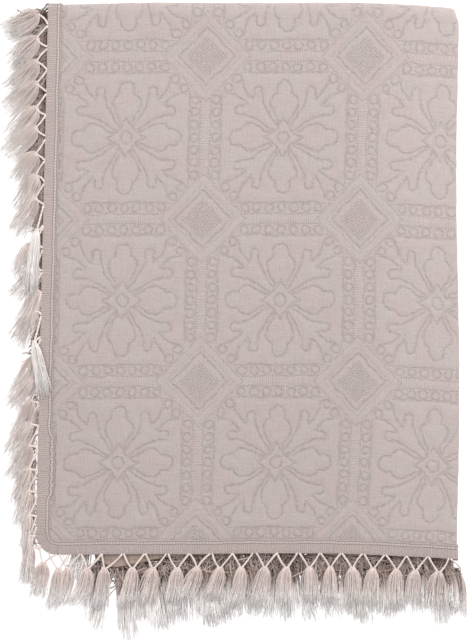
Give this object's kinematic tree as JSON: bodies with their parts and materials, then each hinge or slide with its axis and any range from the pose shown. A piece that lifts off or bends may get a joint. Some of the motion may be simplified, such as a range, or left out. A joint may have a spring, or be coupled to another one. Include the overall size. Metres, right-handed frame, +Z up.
{
  "type": "fringed quilt",
  "caption": "Quilted woven throw with a ribbed edging tape and a tassel fringe, folded and lying flat, for covering a bed, sofa or chair.",
  "frame": {"origin": "middle of the underside of the folded quilt with its fringes", "axes": "+Z up off the surface it lies on, +Y along its longer side towards the top fold, +X across it towards the side fold"},
  "size_m": [0.7212, 0.9866, 0.0257],
  "materials": {
    "quilted_cloth": "matt woven cotton with a quilted relief",
    "ribbed_tape": "matt ribbed woven tape",
    "fringe_yarn": "soft loose cotton yarn"
  },
  "bodies": {
    "root": {"quilt": "quilted_cloth", "heading_tape": "ribbed_tape", "fringe_foot_outer": "fringe_yarn", "fringe_foot_inner": "fringe_yarn", "fringe_side_front": "fringe_yarn", "fringe_side_back": "fringe_yarn"}
  },
  "joints": []
}
